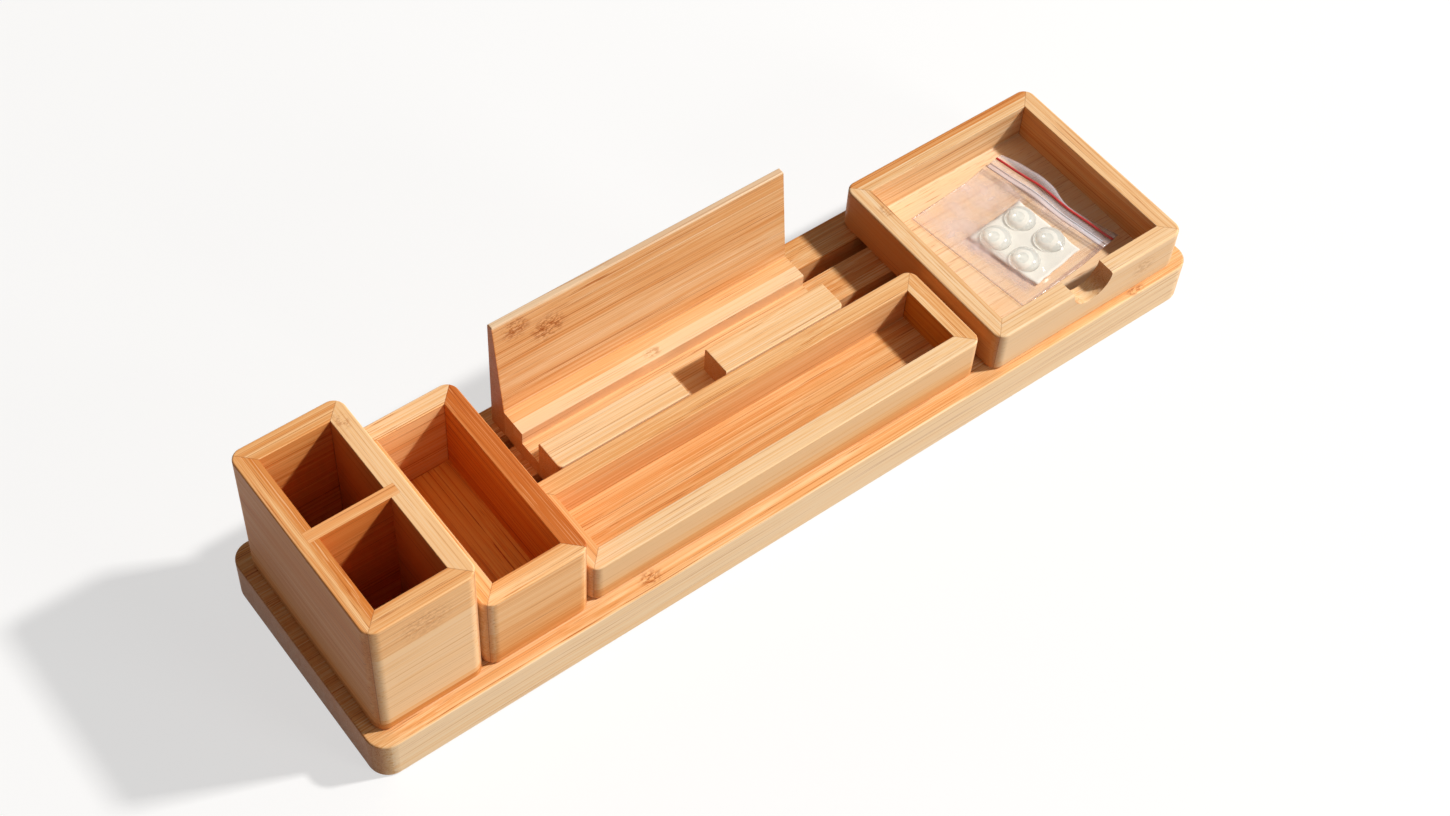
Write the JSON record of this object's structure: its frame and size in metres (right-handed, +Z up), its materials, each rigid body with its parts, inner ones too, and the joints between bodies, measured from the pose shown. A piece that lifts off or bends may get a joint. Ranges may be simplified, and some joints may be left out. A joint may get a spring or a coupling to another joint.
{
  "type": "desk organizer",
  "caption": "Long grooved bamboo base carrying a pen holder, a small box, a long tray, a note box with a finger notch and a sliding phone stand; the modules lift off.",
  "frame": {"origin": "centre of the underside of the base board", "axes": "+X along the base from the pen holder to the note box, +Y to the back, +Z up"},
  "size_m": [0.387, 0.102, 0.084],
  "materials": {
    "bamboo_base": "side-pressed carbonised bamboo, satin clear coat",
    "bamboo_wall": "side-pressed carbonised bamboo, satin clear coat",
    "bamboo_floor": "side-pressed carbonised bamboo, satin clear coat",
    "bamboo_stand": "side-pressed carbonised bamboo, satin clear coat",
    "bamboo_runner": "side-pressed carbonised bamboo, plain sanded",
    "bag_film": "clear polyethylene film, glossy and wrinkled",
    "zip_red": "red polyethylene zip profile",
    "card_white": "white release paper, matte",
    "foot_clear": "clear soft polyurethane, glossy domes"
  },
  "bodies": {
    "base": {"base_board": "bamboo_base"},
    "pen_holder": {"pen_holder_back_wall": "bamboo_wall", "pen_holder_divider": "bamboo_wall", "pen_holder_floor": "bamboo_floor", "pen_holder_front_runner": "bamboo_runner", "pen_holder_front_wall": "bamboo_wall", "pen_holder_left_wall": "bamboo_wall", "pen_holder_rear_runner": "bamboo_runner", "pen_holder_right_wall": "bamboo_wall"},
    "small_box": {"small_box_back_wall": "bamboo_wall", "small_box_floor": "bamboo_floor", "small_box_front_runner": "bamboo_runner", "small_box_front_wall": "bamboo_wall", "small_box_left_wall": "bamboo_wall", "small_box_rear_runner": "bamboo_runner", "small_box_right_wall": "bamboo_wall"},
    "long_tray": {"long_tray_back_wall": "bamboo_wall", "long_tray_floor": "bamboo_floor", "long_tray_front_wall": "bamboo_wall", "long_tray_left_wall": "bamboo_wall", "long_tray_right_wall": "bamboo_wall"},
    "note_box": {"note_box_back_wall": "bamboo_wall", "note_box_floor": "bamboo_floor", "note_box_front_runner": "bamboo_runner", "note_box_front_wall": "bamboo_wall", "note_box_left_wall": "bamboo_wall", "note_box_rear_runner": "bamboo_runner", "note_box_right_wall": "bamboo_wall"},
    "phone_stand": {"stand_back_panel": "bamboo_stand", "stand_base_board": "bamboo_stand", "stand_front_runner": "bamboo_runner", "stand_ledge_strip": "bamboo_stand", "stand_left_lip_strip": "bamboo_stand", "stand_rear_runner": "bamboo_runner", "stand_right_lip_strip": "bamboo_stand"},
    "packet": {"packet_bag": "bag_film", "packet_card": "card_white", "packet_foot_1": "foot_clear", "packet_foot_2": "foot_clear", "packet_foot_3": "foot_clear", "packet_foot_4": "foot_clear", "packet_zip_strip": "zip_red"}
  },
  "joints": [
    {"name": "phone_stand_slide", "type": "slide", "parent": "base", "child": "phone_stand", "axis": [1, 0, 0], "range_m": [-0.016, 0.037]},
    {"name": "pen_holder_lift", "type": "slide", "parent": "base", "child": "pen_holder", "axis": [0, 0, 1], "range_m": [0, 0.057]},
    {"name": "small_box_lift", "type": "slide", "parent": "base", "child": "small_box", "axis": [0, 0, 1], "range_m": [0, 0.082]},
    {"name": "long_tray_lift", "type": "slide", "parent": "base", "child": "long_tray", "axis": [0, 0, 1], "range_m": [0, 0.068]},
    {"name": "note_box_lift", "type": "slide", "parent": "base", "child": "note_box", "axis": [0, 0, 1], "range_m": [0, 0.039]},
    {"name": "packet_lift", "type": "slide", "parent": "note_box", "child": "packet", "axis": [0, 0, 1], "range_m": [0, 0.03]}
  ]
}
